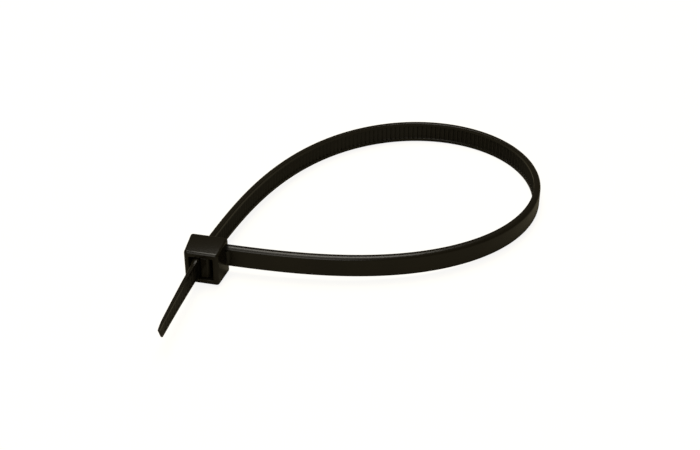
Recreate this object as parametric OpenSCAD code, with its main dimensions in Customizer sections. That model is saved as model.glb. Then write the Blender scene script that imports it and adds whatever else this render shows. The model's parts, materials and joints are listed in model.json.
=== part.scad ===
// Cable tie, closed into a loop and lying on its edge as it comes to rest.
// It is one moulded piece: head with its pawl, toothed strap and thin tail.
// In plan the strap leaves the head along +X, bends round as a springy strip does,
// and comes back through the slot along -Y. The strap's width stands upright.

/* [Strap] */
// Width of the strap, from edge to edge
strap_w = 4.8; // [4.2:0.1:6]
// Thickness of the strap over its rails
strap_t = 1.46; // [1.2:0.02:1.6]
// Length of strap between the head's side and the slot's mouth
loop_length = 193; // [140:1:280]
// Radius of both edges of the smooth outer face
outer_round = 0.7; // [0.3:0.05:0.8]
// Bevel along both edges of the toothed inner face
inner_bevel = 0.16; // [0.08:0.02:0.24]

/* [Tooth rack] */
// Distance from one tooth to the next
tooth_pitch = 1.08; // [1:0.02:1.5]
// Depth of the valleys between the teeth, below the rails
tooth_depth = 0.5; // [0.3:0.05:0.6]
// How far the teeth's crests stay below the rails
crest_drop = 0.08; // [0.04:0.02:0.2]
// Width of each rail beside the rack
rail_w = 0.75; // [0.5:0.05:1]
// Plain strap between the head and the first tooth
plain_length = 12; // [6:1:30]

/* [Head] */
// Thickness of the head, along the slot
head_t = 6.3; // [6:0.1:8]
// Width of the head at the bundle's side, where the strap goes in
head_w_in = 7.9; // [7.6:0.1:9.4]
// Width of the head at the far side, where the tail comes out
head_w_out = 7.1; // [6.9:0.1:8]
// Height of the head at the bundle's side
head_h_in = 8.3; // [8:0.1:10]
// Height of the head at the far side
head_h_out = 7.5; // [7.2:0.1:9]
// Radius of the head's edges and corners
head_round = 0.55; // [0.3:0.05:0.9]
// How far the strap's root stands proud of the bundle's side
root_proud = 0.12; // [0:0.02:0.2]
// Radius of the fillet between the head's side and the strap's outer face
root_fillet = 0.7; // [0.4:0.1:1]

/* [Slot and pawl] */
// Sideways place of the slot's mouth, from the head's middle
slot_x = -0.7; // [-0.8:0.02:-0.3]
// Lean of the strap where it goes into the slot
lean_in = 6; // [5:0.1:9]
// Lean of the strap where it comes out of the slot
lean_out = 1.3; // [0.5:0.1:4]
// Clearance between the strap's faces and the slot's walls
slot_gap = 0.22; // [0.16:0.02:0.3]
// Clearance between each edge of the strap and the slot
slot_side_gap = 0.18; // [0.12:0.02:0.3]
// Width of the flare round the slot's mouth
flare_w = 0.45; // [0.2:0.05:0.6]
// Depth of the flares at the slot's mouth and at its far end
flare_depth = 0.7; // [0.4:0.1:1]
// Thickness of the wall that carries the pawl, at the bundle's side
pocket_floor = 1.7; // [1.4:0.1:2]
// Wall left between the pocket behind the pawl and the head's side
pocket_wall = 1.1; // [0.9:0.05:1.2]
// Thickness of the pawl at its hinge
hinge_t = 0.85; // [0.6:0.05:1]
// Thickness of the pawl behind its teeth
pawl_t = 1.9; // [1.2:0.05:2.1]
// Clearance between the pawl's hinge and the strap's face
hinge_gap = 0.62; // [0.4:0.02:0.7]
// Clearance between the pawl's body and the strap's rails
pawl_rail_gap = 0.14; // [0.1:0.02:0.2]
// Clearance between the pawl's teeth and the rack
pawl_mesh_gap = 0.08; // [0.06:0.02:0.12]
// Gap between each side of the pawl and the pocket's wall
pawl_side_gap = 0.26; // [0.2:0.02:0.5]
// Gap between each side of the pawl's teeth and the rails
mesh_side_gap = 0.14; // [0.1:0.02:0.2]
// Bevel on the back of the pawl's free end
pawl_bevel = 0.5; // [0.2:0.05:0.7]
// Number of teeth on the pawl
pawl_teeth = 3; // [2:1:3]
// How far the pawl's free end is sunk below the head's far side
pawl_sunk = 0.45; // [0.3:0.05:1]

/* [Tail] */
// Length of the tail past the head
tail_length = 22.2; // [16:0.2:40]
// Width of the tail where it meets the toothed strap
tail_w = 4; // [3.4:0.1:4.2]
// Width of the tail at its tip
tip_w = 2.7; // [2.2:0.1:3.2]
// Thickness of the tail where it meets the toothed strap
tail_t = 0.95; // [0.85:0.05:1.1]
// Thickness of the tail at its tip
tip_t = 0.7; // [0.6:0.05:0.8]
// Length of the shoulder between the toothed strap and the tail
shoulder_length = 2.6; // [1.6:0.2:4]
// How much further the tip's upper corner reaches than its lower corner
tip_slant = 1.3; // [0.4:0.1:2]
// How far the tail has bent by its tip, in degrees
tail_bend = 2; // [0:0.5:4]
// Distance from one grip rib to the next
grip_pitch = 1.3; // [1:0.1:2]
// Height of the grip ribs on the tail's toothed side
grip_depth = 0.16; // [0.08:0.02:0.2]

/* [Hidden] */
nylon = "#1c1a14";
radian = 180 / PI;

// Share of the pitch that a tooth's steep side takes
steep_share = 0.2;
// Shares of the grip pitch where a rib's flat top starts and ends
rib_top_share = [0.4, 0.6];
// How far the strap's root and the pawl's hinge run on into the head
overlap = 1;
// Draft of the rack's side walls, so that the mould lets go
rack_draft = 0.12;
// A quarter turn, in degrees
quarter_turn = 90;
// Share of a round edge's radius by which the middle of its arc is drawn in
arc_share = 1 - cos(quarter_turn / 2);
// Bevel of the tail's end
tip_bevel = 0.14;
// Heading of a strap that runs straight down the head, in degrees
heading_down = 270;

// Half the head's width and height at a place along the slot, y from the head's middle
function head_half(at_in, at_out, y) = (at_in * (0.5 + y / head_t) + at_out * (0.5 - y / head_t)) / 2;

// The root's middle, on the head's side
root_y = head_t / 2 - strap_t / 2 + root_proud;
root_x = head_half(head_w_in, head_w_out, root_y);

// A strip's state is [x, y, heading in degrees, curvature]. A springy strip's curvature
// changes as the sine of the angle between its heading and the pull in it.
function strip_slope(st, stiff, pull) = [
    cos(st[2]),
    sin(st[2]),
    st[3] * radian,
    -stiff * sin(st[2] - pull)
];

// One Runge-Kutta step of length h along the strip
function strip_step(st, stiff, pull, h) = let (
    a = strip_slope(st, stiff, pull),
    b = strip_slope(st + a * h / 2, stiff, pull),
    c = strip_slope(st + b * h / 2, stiff, pull),
    d = strip_slope(st + c * h, stiff, pull)
) st + (a + 2 * b + 2 * c + d) * h / 6;

// The strip's states from a start state, over a length cut into steps
function strip_run(start, stiff, pull, length, steps) = [
    for (i = 0, st = start; i <= steps; i = i + 1, st = strip_step(st, stiff, pull, length / steps)) st
];

// The three unknowns of the loop, free of its size: bend at the root, stiffness, angle of the pull
guess_bend_share = 0.46;
guess_stiffness_share = 20.2;
guess_pull_angle = 131;
first_guess = [guess_bend_share, guess_stiffness_share, guess_pull_angle];
guess_change_share = 0.001;
solve_steps = 80;
solve_rounds = 8;
function loop_start(q) = [root_x, root_y, 0, q[0] / loop_length];
function loop_run(q, steps) = strip_run(
    loop_start(q), q[1] / pow(loop_length, 2), q[2], loop_length, steps
);

// How far the loop's end misses the slot's mouth, in place and in heading
function loop_miss(q) = let (
    end = loop_run(q, solve_steps)[solve_steps]
) [
    (end[0] - slot_x) / loop_length,
    (end[1] - head_t / 2) / loop_length,
    (end[2] - (heading_down - lean_in)) / radian
];

// The change of the unknowns that cancels a miss, from the effect of each unknown
function cancel(a, b, c, miss) = [
    miss * cross(b, c),
    a * cross(miss, c),
    a * cross(b, miss)
] / (a * cross(b, c));
function loop_effect(q, miss, i) = let (
    moved = [for (k = [0 : 2]) q[k] + (k == i ? guess_change_share : 0)]
) (loop_miss(moved) - miss) / guess_change_share;
function loop_solve(q, rounds) = rounds == 0 ? q : let (
    miss = loop_miss(q),
    change = cancel(loop_effect(q, miss, 0), loop_effect(q, miss, 1), loop_effect(q, miss, 2), miss)
) loop_solve(q - change, rounds - 1);

// The strap's middle line: into the head, round the loop, through the slot and along the tail
loop_steps = 240;
slot_steps = 12;
tail_steps = 24;
slot_run = head_t / cos((lean_in + lean_out) / 2);
loop_line = loop_run(loop_solve(first_guess, solve_rounds), loop_steps);
loop_end = loop_line[loop_steps];
slot_bend = (lean_in - lean_out) / slot_run / radian;
slot_start = [loop_end[0], loop_end[1], heading_down - lean_in, slot_bend];
slot_line = strip_run(slot_start, 0, 0, slot_run, slot_steps);
slot_end = slot_line[slot_steps];
bend_of_tail = tail_bend / tail_length / radian;
tail_line = strip_run([slot_end[0], slot_end[1], slot_end[2], bend_of_tail], 0, 0, tail_length, tail_steps);

// Each row is [distance along the strap, state]
root_rows = [[-overlap, [root_x - overlap, root_y, 0, 0]]];
loop_rows = [for (i = [0 : loop_steps]) [loop_length * i / loop_steps, loop_line[i]]];
slot_rows = [for (i = [1 : slot_steps]) [loop_length + slot_run * i / slot_steps, slot_line[i]]];
tail_start = loop_length + slot_run;
tail_rows = [for (i = [1 : tail_steps]) [tail_start + tail_length * i / tail_steps, tail_line[i]]];
line_rows = concat(root_rows, loop_rows, slot_rows, tail_rows);
line_x = [for (row = line_rows) [row[0], row[1][0]]];
line_y = [for (row = line_rows) [row[0], row[1][1]]];
line_heading = [for (row = line_rows) [row[0], row[1][2]]];

// Plan position at a distance s along the strap, and off to its toothed side by a
function beside(s, a) = let (
    heading = lookup(s, line_heading)
) [lookup(s, line_x) - a * sin(heading), lookup(s, line_y) + a * cos(heading)];

// The rack: valleys every pitch, from the plain root to just past the pawl's free end
pawl_end = tail_start - pawl_sunk;
rack_start = plain_length;
last_tooth = floor((pawl_end - rack_start) / tooth_pitch);
rack_end = rack_start + last_tooth * tooth_pitch;
steep_run = steep_share * tooth_pitch;

// A station is [distance along the strap, width, thickness, depth of the rack's floor, slant]
plain_steps = 6;
plain_places = [-overlap, for (i = [0 : plain_steps - 1]) plain_length * i / plain_steps];
plain_stations = [for (s = plain_places) [s, strap_w, strap_t, 0, 0]];
rack_stations = [
    for (i = [0 : last_tooth - 1]) each [
        [rack_start + i * tooth_pitch, strap_w, strap_t, tooth_depth, 0],
        [rack_start + i * tooth_pitch + steep_run, strap_w, strap_t, crest_drop, 0]
    ]
];
shoulder_stations = [
    [rack_end, strap_w, strap_t, tooth_depth, 0],
    [rack_end + shoulder_length, tail_w, tail_t, grip_depth, 0]
];

// The tail narrows and thins towards the tip, with grip ribs across its toothed side
thin_start = rack_end + shoulder_length;
tail_end = tail_start + tail_length;
function along_tail(s) = (s - thin_start) / (tail_end - thin_start);
function tail_station(s, depth, slant) = [
    s,
    tail_w + (tip_w - tail_w) * along_tail(s),
    tail_t + (tip_t - tail_t) * along_tail(s),
    depth,
    slant
];
grip_count = floor((tail_end - tip_slant - thin_start) / grip_pitch) - 1;
grip_stations = [
    for (i = [0 : grip_count - 1]) each [
        tail_station(thin_start + (i + rib_top_share[0]) * grip_pitch, 0, 0),
        tail_station(thin_start + (i + rib_top_share[1]) * grip_pitch, 0, 0),
        tail_station(thin_start + (i + 1) * grip_pitch, grip_depth, 0)
    ]
];
tip_stations = [tail_station(tail_end - tip_bevel, 0, tip_slant)];
stations = concat(plain_stations, rack_stations, shoulder_stations, grip_stations, tip_stations);

// Section of the strap at a station: [off to the toothed side, up from the strap's middle]
function section(w, t, depth) = let (
    round = outer_round * t / strap_t,
    drawn_in = round * arc_share,
    rail_bevel = inner_bevel * t / strap_t,
    rack = w / 2 - rail_w * w / strap_w,
    floor_edge = rack - rack_draft
) [
    [-t / 2, round - w / 2],
    [-t / 2, w / 2 - round],
    [drawn_in - t / 2, w / 2 - drawn_in],
    [round - t / 2, w / 2],
    [t / 2 - rail_bevel, w / 2],
    [t / 2, w / 2 - rail_bevel],
    [t / 2, rack],
    [t / 2 - depth, floor_edge],
    [t / 2 - depth, -floor_edge],
    [t / 2, -rack],
    [t / 2, rail_bevel - w / 2],
    [t / 2 - rail_bevel, -w / 2],
    [round - t / 2, -w / 2],
    [drawn_in - t / 2, drawn_in - w / 2]
];
function ring(station) = [
    for (p = section(station[1], station[2], station[3]))
        let (
            s = station[0] - station[4] * (0.5 - p[1] / station[1]),
            q = beside(s, p[0])
        ) [q[0], q[1], strap_w / 2 + p[1]]
];

// The tip's last ring is the one before it, drawn in by the tip's bevel
last_slanted = tip_stations[0];
tip_ring = ring([
    tail_end,
    last_slanted[1] - 2 * tip_bevel,
    last_slanted[2] - 2 * tip_bevel,
    0,
    tip_slant
]);
strap_rings = concat([for (station = stations) ring(station)], [tip_ring]);
strap_points = [for (r = strap_rings) each r];

// The middles of the head's eight round corners
function corner_centre(side_x, side_y, side_z) = let (
    y = side_y * (head_t / 2 - head_round)
) [
    side_x * (head_half(head_w_in, head_w_out, y) - head_round),
    y,
    strap_w / 2 + side_z * (head_half(head_h_in, head_h_out, y) - head_round)
];
corner_centres = [for (i = [-1, 1], j = [-1, 1], k = [-1, 1]) corner_centre(i, j, k)];

// Rest: the head's lower corner and the loop's far edge touch the floor. The tie leans
// towards the place where a line from that corner through its centre of mass meets the loop.
foot = corner_centre(1, 1, -1);
head_solid_share = 0.7;
loop_solid_share = 0.9;
head_mass = head_t * (head_w_in + head_w_out) / 2 * (head_h_in + head_h_out) / 2 * head_solid_share;
tail_mass = tail_length * (tail_w + tip_w) / 2 * (tail_t + tip_t) / 2;
loop_mass = loop_length * strap_w * strap_t * loop_solid_share;
function mean_of(values) = [for (v = values) 1] * values / len(values);
loop_mean = [for (k = [0 : 1]) mean_of([for (st = loop_line) st[k]])];
tail_mean = [for (k = [0 : 1]) mean_of([for (st = tail_line) st[k]])];
mass_centre = (loop_mean * loop_mass + tail_mean * tail_mass) / (loop_mass + tail_mass + head_mass);
far_rows = [for (i = [loop_steps / 4 : loop_steps * 3 / 4]) loop_line[i]];
function bearing(p) = atan2(p[1] - foot[1], p[0] - foot[0]);
far_heading = lookup(bearing(mass_centre), [for (st = far_rows) [bearing(st), st[2]]]);
far_x = lookup(bearing(mass_centre), [for (st = far_rows) [bearing(st), st[0]]]);
far_y = lookup(bearing(mass_centre), [for (st = far_rows) [bearing(st), st[1]]]);
down = [sin(far_heading), -cos(far_heading)];
foot_drop = -foot[2];
far_run = (far_x - foot[0]) * down[0] + (far_y - foot[1]) * down[1] + strap_t / 2 - outer_round;
lean = atan2(foot_drop, far_run) + asin(head_round / norm([foot_drop, far_run]));
lean_axis = [-down[1], down[0], 0];

// The same turn as a function, to find the leaned tie's bounds
function leaned(p) = let (
    along = p * lean_axis * lean_axis,
    out = p - along
) along + out * cos(lean) + cross(lean_axis, out) * sin(lean);
leaned_strap = [for (p = strap_points) leaned(p)];
leaned_corners = [for (p = corner_centres) leaned(p)];
low = [for (k = [0 : 2]) min(
    min([for (p = leaned_strap) p[k]]),
    min([for (p = leaned_corners) p[k]]) - head_round
)];
high = [for (k = [0 : 2]) max(
    max([for (p = leaned_strap) p[k]]),
    max([for (p = leaned_corners) p[k]]) + head_round
)];
shift = [-(low[0] + high[0]) / 2, -(low[1] + high[1]) / 2, -low[2]];

// Skin through a list of rings that all have as many points, closed flat at both ends.
// Each ring runs clockwise as seen from the last ring's side.
module skin(rings) {
    size = len(rings[0]);
    last = (len(rings) - 1) * size;
    sides = [
        for (i = [0 : len(rings) - 2], j = [0 : size - 1])
            let (
                next = (j + 1) % size,
                a = i * size + j,
                b = i * size + next,
                c = a + size,
                d = b + size
            ) each [[a, b, d], [a, d, c]]
    ];
    start_cap = [for (j = [1 : size - 2]) [0, j + 1, j]];
    end_cap = [for (j = [1 : size - 2]) [last, last + j, last + j + 1]];
    polyhedron(points = [for (r = rings) each r], faces = concat(sides, start_cap, end_cap));
}

// Strap: one skin from its root inside the head to the tip
module strap() {
    skin(strap_rings);
}

// Upright prism over a plan outline, centred on the strap's width
module upright(height, outline) {
    translate([0, 0, strap_w / 2 - height / 2])
        linear_extrude(height) polygon(outline);
}

// The head's block: wider and taller at the bundle's side, with round edges and corners.
// Each ring is a round-cornered rectangle, drawn in by an arc at the two ends.
round_steps = 4;
function head_ring(y, inset) = [
    for (corner = [3 : -1 : 0], i = [round_steps : -1 : 0])
        let (
            a = quarter_turn * (corner + i / round_steps),
            half_x = head_half(head_w_in, head_w_out, y) - inset - head_round,
            half_z = head_half(head_h_in, head_h_out, y) - inset - head_round,
            side_x = corner == 0 || corner == 3 ? 1 : -1,
            side_z = corner < 2 ? 1 : -1
        ) [
            side_x * half_x + head_round * cos(a),
            y,
            strap_w / 2 + side_z * half_z + head_round * sin(a)
        ]
];
function head_end(side) = [
    for (i = [0 : round_steps])
        let (a = quarter_turn * i / round_steps)
            head_ring(side * (head_t / 2 - head_round * (1 - sin(a))), head_round * (1 - cos(a)))
];
function backwards(rows) = [for (i = [len(rows) - 1 : -1 : 0]) rows[i]];

module head_block() {
    skin(concat(backwards(head_end(1)), head_end(-1)));
}

// The straight channel for the strap, with the pocket that the pawl swings in
slot_h = strap_w + 2 * slot_side_gap;
slot_half = strap_t / 2 + slot_gap;
pocket_y = head_t / 2 - pocket_floor;
pocket_x = head_half(head_w_in, head_w_out, -head_t / 2) - pocket_wall;
mouth = [slot_x, head_t / 2];
outlet = [slot_end[0], slot_end[1]];
channel_dir = (outlet - mouth) / norm(outlet - mouth);
channel_side = [-channel_dir[1], channel_dir[0]];
function in_channel(s, a) = mouth + channel_dir * s + channel_side * a;

module slot_cut() {
    through = slot_run + overlap;
    upright(slot_h, [
        in_channel(-overlap, -slot_half),
        in_channel(through, -slot_half),
        in_channel(through, slot_half),
        in_channel(-overlap, slot_half)
    ]);
    upright(slot_h, [
        in_channel(slot_run - flare_depth, -slot_half),
        in_channel(through, -slot_half - flare_w * (1 + overlap / flare_depth)),
        in_channel(through, 0),
        in_channel(slot_run - flare_depth, 0)
    ]);
    upright(slot_h, [
        [slot_x, pocket_y],
        [slot_x, -head_t],
        [pocket_x, -head_t],
        [pocket_x, pocket_y]
    ]);
    mouth_flare();
}

// The mouth's four-sided funnel, from inside the slot to just past the face
function mouth_ring(y, widen) = [
    for (corner = [[1, 1], [1, -1], [-1, -1], [-1, 1]]) [
        slot_x + corner[0] * (slot_half + widen),
        y,
        strap_w / 2 + corner[1] * (slot_h / 2 + widen)
    ]
];
module mouth_flare() {
    slope = flare_w / flare_depth;
    skin([
        mouth_ring(head_t / 2 + flare_depth, flare_w + flare_depth * slope),
        mouth_ring(head_t / 2 - flare_depth, 0)
    ]);
}

// The pawl: a tongue from the pocket's floor that leans to the strap, with teeth in the rack
hinge_s = loop_length + pocket_floor;
pawl_first = last_tooth - pawl_teeth;
function rack_place(i, depth) = beside(
    rack_start + i * tooth_pitch, strap_t / 2 - depth + pawl_mesh_gap
);
function crest_place(i) = beside(
    rack_start + i * tooth_pitch + steep_run, strap_t / 2 - crest_drop + pawl_mesh_gap
);

module pawl() {
    body_face = strap_t / 2 + pawl_rail_gap;
    hinge_face = strap_t / 2 + hinge_gap;
    upright(slot_h - 2 * pawl_side_gap, [
        beside(hinge_s - overlap, hinge_face),
        beside(hinge_s, hinge_face),
        beside(rack_start + pawl_first * tooth_pitch, body_face),
        beside(pawl_end, body_face),
        beside(pawl_end, body_face + pawl_t - pawl_bevel),
        beside(pawl_end - pawl_bevel, body_face + pawl_t),
        beside(rack_start + pawl_first * tooth_pitch, body_face + pawl_t),
        beside(hinge_s, hinge_face + hinge_t),
        beside(hinge_s - overlap, hinge_face + hinge_t)
    ]);
    teeth_w = strap_w - 2 * rail_w - 2 * rack_draft - 2 * mesh_side_gap;
    first_s = rack_start + pawl_first * tooth_pitch + steep_run;
    last_s = rack_start + last_tooth * tooth_pitch - (1 - steep_share) * tooth_pitch;
    upright(teeth_w, concat(
        [beside(first_s, body_face + pawl_t / 2)],
        [for (i = [pawl_first : last_tooth - 1]) each [
            if (i > pawl_first) rack_place(i, tooth_depth),
            crest_place(i)
        ]],
        [beside(last_s, body_face + pawl_t / 2)]
    ));
}

// Fillet in the corner between the head's side and the strap's outer face
module root_gusset() {
    corner_y = root_y - strap_t / 2;
    side_x = head_half(head_w_in, head_w_out, corner_y - root_fillet);
    arc_steps = 8;
    centre = [side_x + root_fillet, corner_y - root_fillet];
    upright(strap_w - 2 * outer_round, concat(
        [[side_x - overlap, corner_y + strap_t / 2], [side_x - overlap, corner_y - root_fillet]],
        [
            for (i = [0 : arc_steps])
                let (a = quarter_turn * (2 - i / arc_steps)) centre + root_fillet * [cos(a), sin(a)]
        ],
        [[side_x + root_fillet, corner_y + strap_t / 2]]
    ));
}

module head() {
    difference() {
        head_block();
        slot_cut();
    }
    pawl();
    root_gusset();
}

module cable_tie() {
    color(nylon)
        translate(shift)
            rotate(a = lean, v = lean_axis)
                union() {
                    head();
                    strap();
                }
}

cable_tie();
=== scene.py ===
"""Looks of a moulded nylon cable tie, closed into a loop and lying on its edge.

Lengths are in millimetres in the tie's own plan: the head's middle at 0, 0, the strap leaving along +X and coming
back through the slot along -Y. to_row() lays that plan down as the tie rests, in the row's frame and in metres.
"""
import json

import bpy
import numpy as np
from mathutils import Matrix, Vector


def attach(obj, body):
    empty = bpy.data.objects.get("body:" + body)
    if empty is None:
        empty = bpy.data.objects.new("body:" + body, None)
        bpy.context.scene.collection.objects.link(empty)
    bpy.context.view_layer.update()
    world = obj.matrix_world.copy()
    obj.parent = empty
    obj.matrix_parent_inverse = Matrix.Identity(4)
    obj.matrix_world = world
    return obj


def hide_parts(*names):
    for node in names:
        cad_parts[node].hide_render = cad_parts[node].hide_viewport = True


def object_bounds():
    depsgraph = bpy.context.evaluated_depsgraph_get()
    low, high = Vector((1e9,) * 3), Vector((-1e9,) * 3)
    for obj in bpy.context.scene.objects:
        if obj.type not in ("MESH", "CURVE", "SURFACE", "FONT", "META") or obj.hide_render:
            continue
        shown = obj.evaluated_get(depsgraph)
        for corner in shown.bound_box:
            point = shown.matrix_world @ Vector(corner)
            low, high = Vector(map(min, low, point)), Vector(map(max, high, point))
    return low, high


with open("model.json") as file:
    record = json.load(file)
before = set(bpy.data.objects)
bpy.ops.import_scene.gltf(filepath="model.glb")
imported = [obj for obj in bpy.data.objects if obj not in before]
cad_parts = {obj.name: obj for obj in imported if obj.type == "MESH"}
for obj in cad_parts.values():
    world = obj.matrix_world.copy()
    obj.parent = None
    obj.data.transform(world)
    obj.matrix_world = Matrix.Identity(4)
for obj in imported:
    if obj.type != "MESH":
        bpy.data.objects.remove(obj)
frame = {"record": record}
cad_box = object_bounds()

# Strap
# One long strip of black nylon, moulded flat and straight in one piece with the head. It leaves the head, bends
# round as a springy strip does, goes through the slot and ends in the tail. Its inner face has a rack of teeth
# between two smooth rails, and its long edges are round where the two halves of the mould meet.
STRAP_W = 4.8
STRAP_T = 1.46
OUTER_ROUND, EDGE_ROUND, INNER_ROUND = 0.7, 0.95, 0.16
LOOP_LENGTH = 193.0
PLAIN_LENGTH = 12.0
HEAD_T = 6.3
HEAD_W = (7.9, 7.1)
HEAD_H = (8.3, 7.5)
HEAD_ROUND = 0.55
ROOT_PROUD = 0.12
ROOT_SUNK = 1.0
SLOT_X = -0.7
LEAN_IN, LEAN_OUT = 6.0, 1.3
TAIL_LENGTH, TAIL_BEND = 22.2, 2.0
MIDDLE_Z = STRAP_W / 2


def head_half(sizes, y):
    """Half the head's width or height at y: it changes evenly from its size at the bundle's side to the far side."""
    return (sizes[0] * (0.5 + y / HEAD_T) + sizes[1] * (0.5 - y / HEAD_T)) / 2


def strip_slope(state, stiff, pull):
    """How x, y, heading and curvature change along a springy strip. The curvature's change is minus stiff times the
    sine of heading less pull, as in a strip that is held at its ends and bent by nothing else."""
    heading, curvature = state[2], state[3]
    return np.array([np.cos(heading), np.sin(heading), curvature, -stiff * np.sin(heading - pull)])


def strip_run(start, stiff, pull, length, steps):
    """The strip's states over a length, by Runge-Kutta steps of equal size."""
    h = length / steps
    rows = [np.array(start, float)]
    for _ in range(steps):
        state = rows[-1]
        a = strip_slope(state, stiff, pull)
        b = strip_slope(state + a * h / 2, stiff, pull)
        c = strip_slope(state + b * h / 2, stiff, pull)
        d = strip_slope(state + c * h, stiff, pull)
        rows.append(state + (a + 2 * b + 2 * c + d) * h / 6)
    return np.array(rows)


ROOT_Y = HEAD_T / 2 - STRAP_T / 2 + ROOT_PROUD
ROOT_X = head_half(HEAD_W, ROOT_Y)
HEADING_IN = np.radians(270 - LEAN_IN)
HEADING_OUT = np.radians(270 - LEAN_OUT)


def loop_run(unknowns, steps):
    """The loop for three unknowns that are free of its size: bend at the root, stiffness and angle of the pull."""
    bend, stiff, pull = unknowns
    return strip_run([ROOT_X, ROOT_Y, 0, bend / LOOP_LENGTH], stiff / LOOP_LENGTH ** 2, pull, LOOP_LENGTH, steps)


def loop_miss(unknowns):
    """How far the loop's end misses the slot's mouth in place, as a share of the length, and in heading."""
    end = loop_run(unknowns, 80)[-1]
    return np.array([(end[0] - SLOT_X) / LOOP_LENGTH, (end[1] - HEAD_T / 2) / LOOP_LENGTH, end[2] - HEADING_IN])


def solve_loop():
    """Newton's method: the unknowns change until the loop ends in the slot's mouth with the right heading."""
    unknowns, change = np.array([0.46, 20.2, 2.29]), 1e-5
    for _ in range(8):
        miss = loop_miss(unknowns)
        effect = np.column_stack([(loop_miss(unknowns + change * np.eye(3)[i]) - miss) / change for i in range(3)])
        unknowns = unknowns - np.linalg.solve(effect, miss)
    return unknowns


SLOT_RUN = HEAD_T / np.cos(np.radians((LEAN_IN + LEAN_OUT) / 2))
TAIL_START = LOOP_LENGTH + SLOT_RUN
TAIL_END = TAIL_START + TAIL_LENGTH
loop_line = loop_run(solve_loop(), 480)
slot_bend = (HEADING_OUT - HEADING_IN) / SLOT_RUN
slot_line = strip_run([*loop_line[-1, :2], HEADING_IN, slot_bend], 0, 0, SLOT_RUN, 16)
tail_line = strip_run([*slot_line[-1, :3], np.radians(TAIL_BEND) / TAIL_LENGTH], 0, 0, TAIL_LENGTH, 24)
line = np.vstack([[ROOT_X - 2, ROOT_Y, 0, 0], loop_line, slot_line[1:], tail_line[1:]])
line_s = np.concatenate([
    [-2.0],
    np.linspace(0, LOOP_LENGTH, len(loop_line)),
    LOOP_LENGTH + np.linspace(0, SLOT_RUN, len(slot_line))[1:],
    TAIL_START + np.linspace(0, TAIL_LENGTH, len(tail_line))[1:],
])


def beside(s, off):
    """Plan place at a distance s along the strap's middle line, and off to its toothed side."""
    x, y, heading = (np.interp(s, line_s, line[:, k]) for k in range(3))
    return np.stack([x - off * np.sin(heading), y + off * np.cos(heading)], axis=-1)


# The tie rests on the head's lower corner and on the loop's far edge, so it leans as the record's loop axis says
loop_axis = Vector(next(m for m in frame["record"]["mounts"] if m["name"] == "bundle")["axis"]).normalized()
lean = np.array(Vector((0, 0, 1)).rotation_difference(loop_axis).to_matrix())
rough_line = np.vstack([beside(line_s[1:], off) for off in (-STRAP_T / 2, STRAP_T / 2)])
head_balls = np.array([
    [i * (head_half(HEAD_W, y) - HEAD_ROUND), y, MIDDLE_Z + k * (head_half(HEAD_H, y) - HEAD_ROUND)]
    for i in (-1, 1) for y in (HEAD_ROUND - HEAD_T / 2, HEAD_T / 2 - HEAD_ROUND) for k in (-1, 1)
])
rest_shift = np.zeros(3)


def to_row(points):
    """Plan millimetres to the row's frame in metres: the lean's turn, then the shift to the middle of the box."""
    return (np.asarray(points, float) @ lean.T + rest_shift) / 1000


# Rack of teeth: each rises steeply on the side that locks and falls gently on the side that slides in
TOOTH_PITCH, TOOTH_DEPTH, CREST_DROP, STEEP_SHARE = 1.08, 0.5, 0.08, 0.2
PAWL_SUNK, RAIL_W, RACK_DRAFT = 0.45, 0.75, 0.12
LAST_TOOTH = int((TAIL_START - PAWL_SUNK - PLAIN_LENGTH) // TOOTH_PITCH)
RACK_END = PLAIN_LENGTH + LAST_TOOTH * TOOTH_PITCH
TAIL_W, TIP_W, TAIL_T, TIP_T = 4.0, 2.7, 0.95, 0.7
SHOULDER, TIP_SLANT, GRIP_PITCH, GRIP_DEPTH, GRIP_SHARPNESS = 2.6, 1.3, 1.3, 0.16, 0.7
RACK_BLEND, GRIP_FADE, TIP_RUN, TIP_THINNING = 0.25, 0.6, 4.0, 0.3
TOOTH_ROUND, TIP_ROUND, CREST_ROUND, FLOOR_ROUND = 0.045, 0.14, 0.07, 0.05
OUTLINE_STEPS = [6, 6, 3, 2, 3, 3, 2, 3]


def saw(s):
    """Depth of the rack's floor below the rails: a saw tooth, with its corners worn round by a short average."""
    total = 0
    for shift in (-1, -0.5, 0, 0.5, 1):
        phase = ((s + shift * TOOTH_ROUND - PLAIN_LENGTH) / TOOTH_PITCH) % 1
        total = total + np.interp(phase, [0, STEEP_SHARE, 1], [TOOTH_DEPTH, CREST_DROP, TOOTH_DEPTH])
    return total / 5


def ease(x):
    """Smooth step from 0 to 1."""
    x = np.clip(x, 0, 1)
    return x * x * (3 - 2 * x)


def strap_sizes(s):
    """Width, thickness and depth of the toothed side's floor at distances s: toothed strap, shoulder, ribbed tail."""
    past = ease((s - RACK_END) / SHOULDER)
    along = np.clip((s - RACK_END - SHOULDER) / (TAIL_END - RACK_END - SHOULDER), 0, 1)
    width = STRAP_W + past * (TAIL_W - STRAP_W) + along * (TIP_W - TAIL_W)
    thick = STRAP_T + past * (TAIL_T - STRAP_T) + along * (TIP_T - TAIL_T)
    ribs = GRIP_DEPTH * (0.5 + 0.5 * np.cos(2 * np.pi * (s - RACK_END - SHOULDER) / GRIP_PITCH)) ** GRIP_SHARPNESS
    ribs = ribs * ease((TAIL_END - TIP_SLANT - GRIP_FADE - s) / GRIP_FADE)
    rack = saw(s) * ease((s - PLAIN_LENGTH + RACK_BLEND) / RACK_BLEND)
    return width, thick, np.where(s < RACK_END, rack, past * ribs + (1 - past) * TOOTH_DEPTH)


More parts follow.
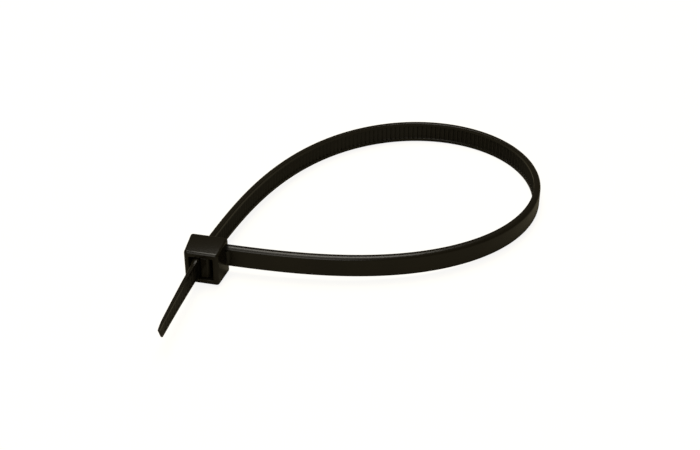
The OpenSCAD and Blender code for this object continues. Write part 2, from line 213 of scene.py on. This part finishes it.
def round_outline(corners, reaches, steps):
    """Closed outlines with round corners. corners is (outlines, corners, 2), and reaches has for each corner how far
    its round reaches along the side before it and the side after it; where two reaches don't fit on a side, both
    are scaled down. The round is an ellipse's arc, the weighted mean of its start, the corner and its end with the
    weights (1 - u)^2, 2 u (1 - u) times the sine of half the corner's angle, and u^2. A support point on both sides
    of it lets flat sides shade flat."""
    before, after = np.roll(corners, 1, axis=1) - corners, np.roll(corners, -1, axis=1) - corners
    size_before = np.linalg.norm(before, axis=2, keepdims=True)
    size_after = np.linalg.norm(after, axis=2, keepdims=True)
    before, after = before / size_before, after / size_after
    reaches = np.broadcast_to(reaches, corners.shape)
    side_total = reaches[:, :, :1] + np.roll(reaches[:, :, 1:], 1, axis=1)
    fit = np.minimum(1, 0.9 * size_before / side_total)
    ways = (before * reaches[:, :, :1] * fit, after * reaches[:, :, 1:] * np.roll(fit, -1, axis=1))
    sine = np.sqrt((1 - np.sum(before * after, axis=2, keepdims=True)) / 2)
    curves = []
    for k, count in enumerate(steps):
        u = np.linspace(0, 1, count + 1)[None, :, None]
        corner, pull = corners[:, k, None], 2 * u * (1 - u) * sine[:, k, None]
        back, on = (way[:, k, None] for way in ways)
        arc = corner + ((1 - u) ** 2 * back + u ** 2 * on) / ((1 - u) ** 2 + pull + u ** 2)
        curves += [corner + 1.1 * back, arc, corner + 1.1 * on]
    return np.concatenate(curves, axis=1)


def strap_outlines(width, thick, depth):
    """Sections of the strap: off to the toothed side and up from the strap's middle. Eight corners: the smooth
    outer face, two rails and the rack's floor between them."""
    rack = width / 2 - RAIL_W * width / STRAP_W
    half_t, half_w, floor, edge = thick / 2, width / 2, thick / 2 - depth, rack - RACK_DRAFT
    corners = np.stack([
        np.stack([-half_t, -half_w], 1), np.stack([-half_t, half_w], 1),
        np.stack([half_t, half_w], 1), np.stack([half_t, rack], 1),
        np.stack([floor, edge], 1), np.stack([floor, -edge], 1),
        np.stack([half_t, -rack], 1), np.stack([half_t, -half_w], 1),
    ], axis=1)
    reaches = np.array([
        [EDGE_ROUND, OUTER_ROUND], [OUTER_ROUND, EDGE_ROUND], [INNER_ROUND] * 2, [CREST_ROUND] * 2,
        [FLOOR_ROUND] * 2, [FLOOR_ROUND] * 2, [CREST_ROUND] * 2, [INNER_ROUND] * 2,
    ])
    return round_outline(corners, reaches * thick[:, None, None] / STRAP_T, OUTLINE_STEPS)


def strap_stations():
    """Distances along the strap: close where the teeth and ribs turn, wide where it is plain."""
    phases = np.array([0, 0.045, 0.1, 0.155, 0.2, 0.26, 0.42, 0.72, 0.93])
    plain = np.concatenate([[-ROOT_SUNK], np.linspace(0, PLAIN_LENGTH - 0.3, 16)])
    teeth = (PLAIN_LENGTH + TOOTH_PITCH * (np.arange(LAST_TOOTH)[:, None] + phases[None])).ravel()
    tail = np.arange(RACK_END, TAIL_END - TIP_ROUND, GRIP_PITCH / 8)
    tip = TAIL_END - TIP_ROUND * (1 - np.sin(np.radians([15, 35, 55, 72, 90])))
    return np.concatenate([plain, teeth, tail, tip])


def strap_points():
    """The strap's rings in plan millimetres. Towards the tip each ring slants, its smooth side comes in by the
    thinning times the square of its share of the tip's run, and the last rings draw in round."""
    s = strap_stations()
    width, thick, depth = strap_sizes(s)
    past = np.clip((s - TAIL_END) / TIP_ROUND + 1, 0, 1)
    draw_in = TIP_ROUND * (1 - np.sqrt(1 - past ** 2))
    thin = TIP_THINNING * np.clip((s - TAIL_END) / TIP_RUN + 1, 0, 1) ** 2
    outline = strap_outlines(width - 2 * draw_in, thick - thin - 2 * draw_in, depth)
    slant = TIP_SLANT * ease((s - TAIL_END + 2 * TIP_SLANT) / (2 * TIP_SLANT))
    s_point = s[:, None] - slant[:, None] * (0.5 - outline[:, :, 1] / width[:, None])
    plan = beside(s_point, outline[:, :, 0] + thin[:, None] / 2)
    return np.concatenate([plan, MIDDLE_Z + outline[:, :, 1:]], axis=2)


strap_grid = strap_points()
leaned_strap, leaned_balls = strap_grid.reshape(-1, 3) @ lean.T, head_balls @ lean.T
low = np.minimum(leaned_strap.min(0), leaned_balls.min(0) - HEAD_ROUND)
high = np.maximum(leaned_strap.max(0), leaned_balls.max(0) + HEAD_ROUND)
cad_low, cad_high = (np.array(corner) * 1000 for corner in cad_box)
rest_shift = (cad_low + cad_high) / 2 - (low + high) / 2


def grid_faces(rings, points, first=0):
    """Four-sided faces between neighbouring rings of a grid whose rings are closed."""
    i, j = np.meshgrid(np.arange(rings - 1), np.arange(points), indexing="ij")
    a, b = i * points + j, i * points + (j + 1) % points
    return (np.stack([a, b, b + points, a + points], axis=-1) + first).reshape(-1, 4)


def make_piece(name, points, faces, material):
    """A smooth mesh object at the origin, from plan millimetres and lists of faces that are turned outwards."""
    mesh = bpy.data.meshes.new(name)
    mesh.from_pydata(to_row(points), [], [list(map(int, f)) for f in faces])
    mesh.validate()
    mesh.polygons.foreach_set("use_smooth", np.ones(len(mesh.polygons), bool))
    mesh.materials.append(material)
    piece = bpy.data.objects.new(name, mesh)
    bpy.context.collection.objects.link(piece)
    return piece


class Value:
    """A number in a material, as a socket. Python's operators on it add Math nodes."""

    def __init__(self, nodes, socket):
        self.nodes, self.socket = nodes, socket

    def math(self, operation, other):
        return self.nodes.add("ShaderNodeMath", {"operation": operation}, {0: self, 1: other})

    def __add__(self, other):
        return self.math("ADD", other)

    def __sub__(self, other):
        return self.math("SUBTRACT", other)

    def __mul__(self, other):
        return self.math("MULTIPLY", other)

    __radd__, __rmul__ = __add__, __mul__

    def __rsub__(self, other):
        return self * -1 + other


class Finish:
    """A material's nodes. add() makes any node from its type, its settings and what goes into its sockets."""

    def __init__(self, name):
        self.material = bpy.data.materials.new(name)
        self.material.use_nodes = True
        self.tree = self.material.node_tree
        self.tree.nodes.clear()

    def add(self, kind, settings, inputs, out=0):
        node = self.tree.nodes.new(kind)
        for key, value in settings.items():
            setattr(node, key, value)
        for key, value in inputs.items():
            if isinstance(value, Value):
                self.tree.links.new(value.socket, node.inputs[key])
            else:
                node.inputs[key].default_value = value
        return Value(self, node.outputs[out]) if node.outputs else None


def noise(f, place, size, detail=2.0, roughness=0.5):
    """Cloudy noise whose blobs are about size millimetres across."""
    inputs = {"Vector": place, "Scale": 1000 / size, "Detail": detail, "Roughness": roughness}
    return f.add("ShaderNodeTexNoise", {}, inputs)


def ramp(f, value, low, high):
    """0 below low, 1 above high, smooth between."""
    return f.add("ShaderNodeMapRange", {"interpolation_type": "SMOOTHSTEP"}, {0: value, 1: low, 2: high})


def black_nylon():
    """Black nylon from the mould: a satin skin with a fine grain, faint flow clouds, and small shiny scuffs."""
    f = Finish("black_nylon")
    place = f.add("ShaderNodeTexCoord", {}, {}, out="Object")
    clouds = noise(f, place, 9.0, 3.0)
    grain = noise(f, place, 0.22, 4.0, 0.6)
    waves = noise(f, place, 1.6)
    scuffs = ramp(f, noise(f, place, 0.9, 5.0, 0.7), 0.6, 0.72)
    colour = f.add("ShaderNodeMix", {"data_type": "RGBA"}, {
        0: ramp(f, clouds, 0.3, 0.7), 6: (0.010, 0.008, 0.0045, 1), 7: (0.0145, 0.0118, 0.0064, 1),
    }, out=2)
    matt = f.add("ShaderNodeAttribute", {"attribute_name": "matt"}, {}, out="Fac")
    roughness = 0.19 + 0.06 * clouds + 0.06 * grain - 0.04 * scuffs + 0.25 * matt
    height = 0.5 * grain + 0.35 * waves - 0.25 * scuffs
    bump = f.add("ShaderNodeBump", {}, {"Strength": 0.18, "Distance": 0.00005, "Height": height})
    shader = f.add("ShaderNodeBsdfPrincipled", {}, {
        "Base Color": colour, "Roughness": roughness, "Normal": bump, "IOR": 1.53,
        "Specular IOR Level": 0.4,
    })
    f.add("ShaderNodeOutputMaterial", {}, {"Surface": shader})
    return f.material


nylon = black_nylon()
rings, ring_points = strap_grid.shape[:2]
strap_faces = [*grid_faces(rings, ring_points)]
strap_faces.append(range(ring_points - 1, -1, -1))
strap_faces.append(range((rings - 1) * ring_points, rings * ring_points))
strap = make_piece("strap", strap_grid.reshape(-1, 3), strap_faces, nylon)

# The mould's spark-worn rack is matt. A corner gives its steps and three points more, and the rack's floor lies from
# the fifth corner to the sixth.
corner_starts = np.cumsum([0, *(count + 3 for count in OUTLINE_STEPS)])
matt = np.zeros((rings, ring_points))
matt[:, corner_starts[4]:corner_starts[6]] = 1
strap.data.attributes.new("matt", "FLOAT", "POINT").data.foreach_set("value", matt.ravel())
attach(strap, "root")
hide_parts("cable_tie")

# Head
# A block moulded on the strap's root, wider and taller on the side that faces the bundle, with round edges. A slot
# for the strap runs through it, with a flared mouth, and opens into a pocket where the pawl can swing.
SLOT_GAP, SLOT_SIDE_GAP = 0.22, 0.18
FLARE_W, FLARE_DEPTH = 0.45, 0.7
POCKET_FLOOR, POCKET_WALL = 1.7, 1.1
LIP_ROUND, SLOT_ROUND, WINDOW_ROUND, MOUTH_ROUND = 0.14, 0.2, 0.22, 0.3
POCKET_Y = HEAD_T / 2 - POCKET_FLOOR
POCKET_X = head_half(HEAD_W, -HEAD_T / 2) - POCKET_WALL
SLOT_HALF, SLOT_H = STRAP_T / 2 + SLOT_GAP, STRAP_W + 2 * SLOT_SIDE_GAP
outlet_x = slot_line[-1, 0]


def slot_middle(y):
    """The slot's middle runs straight from the mouth to where the strap comes out."""
    return SLOT_X + (outlet_x - SLOT_X) * (0.5 - y / HEAD_T)


def head_profile():
    """The walls that a knife through the head would show, as a closed loop of stops [y, left, right, half height,
    corner radius]: down the outside, in over the far face, up the pocket and the slot, and out over the mouth."""
    far, near = -HEAD_T / 2, HEAD_T / 2
    outer = []
    for side in (1, -1):
        for angle in (np.linspace(90, 0, 6) if side > 0 else np.linspace(0, 90, 6)):
            a = np.radians(angle)
            y = side * (HEAD_T / 2 - HEAD_ROUND * (1 - np.sin(a)))
            inset = HEAD_ROUND * (1 - np.cos(a))
            half_x, half_z = head_half(HEAD_W, y) - inset, head_half(HEAD_H, y) - inset
            outer.append([y, -half_x, half_x, half_z, HEAD_ROUND])
    left_out = slot_middle(far) - SLOT_HALF - FLARE_W
    half_h = SLOT_H / 2
    inner = []
    for angle in np.linspace(0, 90, 5):
        a = np.radians(angle)
        out, up = LIP_ROUND * (1 - np.sin(a)), LIP_ROUND * (1 - np.cos(a))
        inner.append([far + up, left_out - out, POCKET_X + out, half_h + out, WINDOW_ROUND + out])
    inner.append([far + FLARE_DEPTH, slot_middle(far + FLARE_DEPTH) - SLOT_HALF, POCKET_X, half_h, SLOT_ROUND])
    for angle in np.linspace(0, 90, 4):
        a = np.radians(angle)
        pull, rise = SLOT_ROUND * (1 - np.cos(a)), SLOT_ROUND * np.sin(a)
        inner.append([
            POCKET_Y - SLOT_ROUND + rise, slot_middle(POCKET_Y) - SLOT_HALF, POCKET_X - pull, half_h, SLOT_ROUND
        ])
    for angle in np.linspace(90, 0, 4):
        a = np.radians(angle)
        back, rise = LIP_ROUND * np.sin(a), LIP_ROUND * (1 - np.sin(a))
        right = slot_middle(POCKET_Y) + SLOT_HALF + LIP_ROUND - LIP_ROUND * np.cos(a)
        inner.append([POCKET_Y + LIP_ROUND - back, slot_middle(POCKET_Y) - SLOT_HALF, right, half_h, SLOT_ROUND])
    y = near - FLARE_DEPTH
    inner.append([y, slot_middle(y) - SLOT_HALF, slot_middle(y) + SLOT_HALF, half_h, SLOT_ROUND])
    for angle in np.linspace(0, 90, 5):
        a = np.radians(angle)
        out, up = LIP_ROUND * (1 - np.cos(a)), LIP_ROUND * np.sin(a)
        wide = FLARE_W - LIP_ROUND + out
        inner.append([
            near - LIP_ROUND + up, SLOT_X - SLOT_HALF - wide, SLOT_X + SLOT_HALF + wide, half_h + wide,
            MOUTH_ROUND + wide,
        ])
    return np.array(outer + inner)


def head_points():
    """Each stop of the profile as a round-cornered rectangle in x and z, its corners sampled by angle."""
    y, left, right, half_z, radius = head_profile().T[:, :, None, None]
    angle = np.radians(90 * np.arange(4)[:, None] + np.linspace(0, 90, 9)[None])[None]
    side_x = np.array([1, -1, -1, 1])[None, :, None]
    side_z = np.array([1, 1, -1, -1])[None, :, None]
    middle_x, half_x = (left + right) / 2, (right - left) / 2
    x = middle_x + side_x * (half_x - radius) + radius * np.cos(angle)
    z = MIDDLE_Z + side_z * (half_z - radius) + radius * np.sin(angle)
    return np.stack([x, y + 0 * x, z], axis=-1).reshape(len(y), -1, 3)


head_grid = head_points()
stops, stop_points = head_grid.shape[:2]
wrap = np.arange(stops * stop_points).reshape(stops, stop_points)
a, b = wrap, np.roll(wrap, -1, axis=1)
c, d = np.roll(b, -1, axis=0), np.roll(a, -1, axis=0)
head = make_piece("head", head_grid.reshape(-1, 3), np.stack([a, b, c, d], axis=-1).reshape(-1, 4), nylon)
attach(head, "root")
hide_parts("cable_tie")

# Pawl
# A small tongue of the same nylon that springs from the wall at the bundle's side and leans on the strap. Three
# teeth at its free end sit in the rack and let the strap slide in but not out.
PAWL_TEETH, PAWL_T, PAWL_BEVEL, HINGE_T, HINGE_GAP = 3, 1.9, 0.5, 0.85, 0.62
PAWL_RAIL_GAP, PAWL_MESH_GAP, PAWL_SIDE_GAP, MESH_SIDE_GAP = 0.14, 0.08, 0.26, 0.14
PAWL_ROUND, PAWL_RIM, PAWL_TOOTH_ROUND = 0.12, 0.1, 0.05


def prism(name, corners, radius, width, edge):
    """Upright prism over a round-cornered plan outline, centred on the strap. Towards each rim the outline is drawn
    in by edge * (1 - cos t) and raised by edge * sin t, for t from 0 to a quarter turn."""
    outline = round_outline(np.array(corners)[None], radius, [4] * len(corners))[0]
    ahead = np.roll(outline, -1, axis=0) - np.roll(outline, 1, axis=0)
    area = np.sum(outline[:, 0] * np.roll(outline[:, 1], -1) - outline[:, 1] * np.roll(outline[:, 0], -1))
    inward = np.stack([-ahead[:, 1], ahead[:, 0]], 1) / np.linalg.norm(ahead, axis=1, keepdims=True) * np.sign(area)
    levels = [(side, np.radians(t)) for side, turns in ((-1, (90, 60, 30, 0)), (1, (0, 30, 60, 90))) for t in turns]
    levels = [
        np.column_stack([
            outline + inward * edge * (1 - np.cos(t)),
            np.full(len(outline), MIDDLE_Z + side * (width / 2 - edge * (1 - np.sin(t)))),
        ])
        for side, t in levels
    ]
    count = len(outline)
    faces = [*grid_faces(len(levels), count)]
    faces.append(range(count - 1, -1, -1))
    faces.append(range((len(levels) - 1) * count, len(levels) * count))
    if area < 0:
        faces = [list(f)[::-1] for f in faces]
    piece = make_piece(name, np.vstack(levels), faces, nylon)
    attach(piece, "root")
    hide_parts("cable_tie")
    return piece


hinge_s, pawl_end = LOOP_LENGTH + POCKET_FLOOR, TAIL_START - PAWL_SUNK
first_s = PLAIN_LENGTH + (LAST_TOOTH - PAWL_TEETH) * TOOTH_PITCH
body_face, hinge_face = STRAP_T / 2 + PAWL_RAIL_GAP, STRAP_T / 2 + HINGE_GAP
prism("pawl", [
    beside(hinge_s - ROOT_SUNK, hinge_face), beside(hinge_s, hinge_face), beside(first_s, body_face),
    beside(pawl_end, body_face), beside(pawl_end, body_face + PAWL_T - PAWL_BEVEL),
    beside(pawl_end - PAWL_BEVEL, body_face + PAWL_T), beside(first_s, body_face + PAWL_T),
    beside(hinge_s, hinge_face + HINGE_T), beside(hinge_s - ROOT_SUNK, hinge_face + HINGE_T),
], PAWL_ROUND, SLOT_H - 2 * PAWL_SIDE_GAP, PAWL_RIM)
steep = STEEP_SHARE * TOOTH_PITCH
tooth_corners = [beside(first_s + steep, body_face + PAWL_T / 2)]
for i in range(PAWL_TEETH):
    if i:
        tooth_corners.append(beside(first_s + i * TOOTH_PITCH, STRAP_T / 2 - TOOTH_DEPTH + PAWL_MESH_GAP))
    tooth_corners.append(beside(first_s + i * TOOTH_PITCH + steep, STRAP_T / 2 - CREST_DROP + PAWL_MESH_GAP))
tooth_corners.append(beside(first_s + (PAWL_TEETH - 1) * TOOTH_PITCH + steep, body_face + PAWL_T / 2))
mesh_width = STRAP_W - 2 * (RAIL_W + RACK_DRAFT + MESH_SIDE_GAP)
prism("pawl_teeth", tooth_corners, PAWL_TOOTH_ROUND, mesh_width, PAWL_TOOTH_ROUND)

# Root gusset
# The moulded fillet in the corner between the head's side and the strap's smooth outer face.
ROOT_FILLET, GUSSET_ROUND, GUSSET_RIM = 0.7, 0.04, 0.1
corner_y = ROOT_Y - STRAP_T / 2
side_x = head_half(HEAD_W, corner_y - ROOT_FILLET)
turns = np.radians(np.linspace(180, 90, 10))
arc_middle = np.array([side_x + ROOT_FILLET, corner_y - ROOT_FILLET])
arc = arc_middle + ROOT_FILLET * np.stack([np.cos(turns), np.sin(turns)], 1)
prism("root_gusset", [
    [side_x - ROOT_SUNK, corner_y + STRAP_T / 2], [side_x - ROOT_SUNK, corner_y - ROOT_FILLET],
    *arc.tolist(), [side_x + ROOT_FILLET, corner_y + STRAP_T / 2],
], GUSSET_ROUND, STRAP_W - 2 * OUTER_ROUND, GUSSET_RIM)

# Floor
# A plain white table top. It looks white to the camera, and keeps the tie's soft shadow.
FLOOR_COLOUR, FLOOR_GLOW = (0.38, 0.35, 0.255, 1), 0.88


def white_floor():
    """Matt white, with a glow that only the camera sees, so that the open floor is white and shadows stay."""
    f = Finish("white_floor")
    matt = f.add("ShaderNodeBsdfDiffuse", {}, {"Color": FLOOR_COLOUR})
    seen = f.add("ShaderNodeLightPath", {}, {}, out="Is Camera Ray")
    glow = f.add("ShaderNodeEmission", {}, {"Color": (1, 1, 1, 1), "Strength": seen * FLOOR_GLOW})
    f.add("ShaderNodeOutputMaterial", {}, {"Surface": f.add("ShaderNodeAddShader", {}, {0: matt, 1: glow})})
    return f.material


bpy.ops.mesh.primitive_plane_add(size=6, location=(0, 0, -0.00002))
floor = bpy.context.object
floor.name = "floor"
floor.data.materials.append(white_floor())

# Lamps
# A soft box overhead and a little behind the tie draws the bright lines on the round edges and leaves the tops dark.
# A weaker one in front of it and a low one beyond the tail light the floor, which the upright faces mirror. All are
# a little warm.
LAMP_COLOUR = (1, 0.96, 0.86)


def soft_box(name, direction, distance, size, power):
    """A square lamp of a size and power, at a distance from the tie in a direction, facing it."""
    lamp = bpy.data.lights.new(name, "AREA")
    lamp.shape, lamp.size, lamp.energy, lamp.color = "SQUARE", size, power, LAMP_COLOUR
    box = bpy.data.objects.new(name, lamp)
    bpy.context.collection.objects.link(box)
    way = Vector(direction).normalized()
    box.location = way * distance
    box.rotation_euler = way.to_track_quat("Z", "Y").to_euler()
    return box


soft_box("key_box", (-0.1, 0.28, 1.0), 0.9, 0.45, 2.9)
soft_box("front_box", (-0.1, -0.25, 0.8), 0.9, 0.5, 0.8)
soft_box("fill_box", (-0.1, -0.85, 0.45), 1.0, 0.6, 1.8)
world = bpy.data.worlds.new("studio")
bpy.context.scene.world = world
world.use_nodes = True
world.node_tree.nodes["Background"].inputs[0].default_value = (1, 0.86, 0.56, 1)
world.node_tree.nodes["Background"].inputs[1].default_value = 0.075
bpy.context.scene.view_settings.view_transform = "Standard"

# Camera
# It looks down on the loop from beyond the tail, as the photograph does. The angles are in the tie's own plan.
AZIMUTH, ELEVATION, ROLL = -12.42, 34.102, 0.416
DISTANCE, TARGET = 275.6, (25.72, 18.936, 2.48)
FOCAL_PIXELS, IMAGE_WIDTH, SENSOR = 1305.2, 700, 36.0

az, el, roll = np.radians([AZIMUTH, ELEVATION, ROLL])
forward = np.array([np.sin(az) * np.cos(el), np.cos(az) * np.cos(el), -np.sin(el)])
right = np.array([np.cos(az), -np.sin(az), 0])
up = np.cross(right, forward)
right, up = np.cos(roll) * right + np.sin(roll) * up, np.cos(roll) * up - np.sin(roll) * right
turned = lean @ np.stack([right, up, -forward], axis=1)
camera_data = bpy.data.cameras.new("camera")
camera_data.sensor_width = SENSOR
camera_data.lens = SENSOR * FOCAL_PIXELS / IMAGE_WIDTH
camera_data.clip_start = 0.01
camera = bpy.data.objects.new("camera", camera_data)
bpy.context.collection.objects.link(camera)
camera.matrix_world = Matrix.Translation(to_row(np.array(TARGET) - DISTANCE * forward)) @ Matrix(turned).to_4x4()
bpy.context.scene.camera = camera
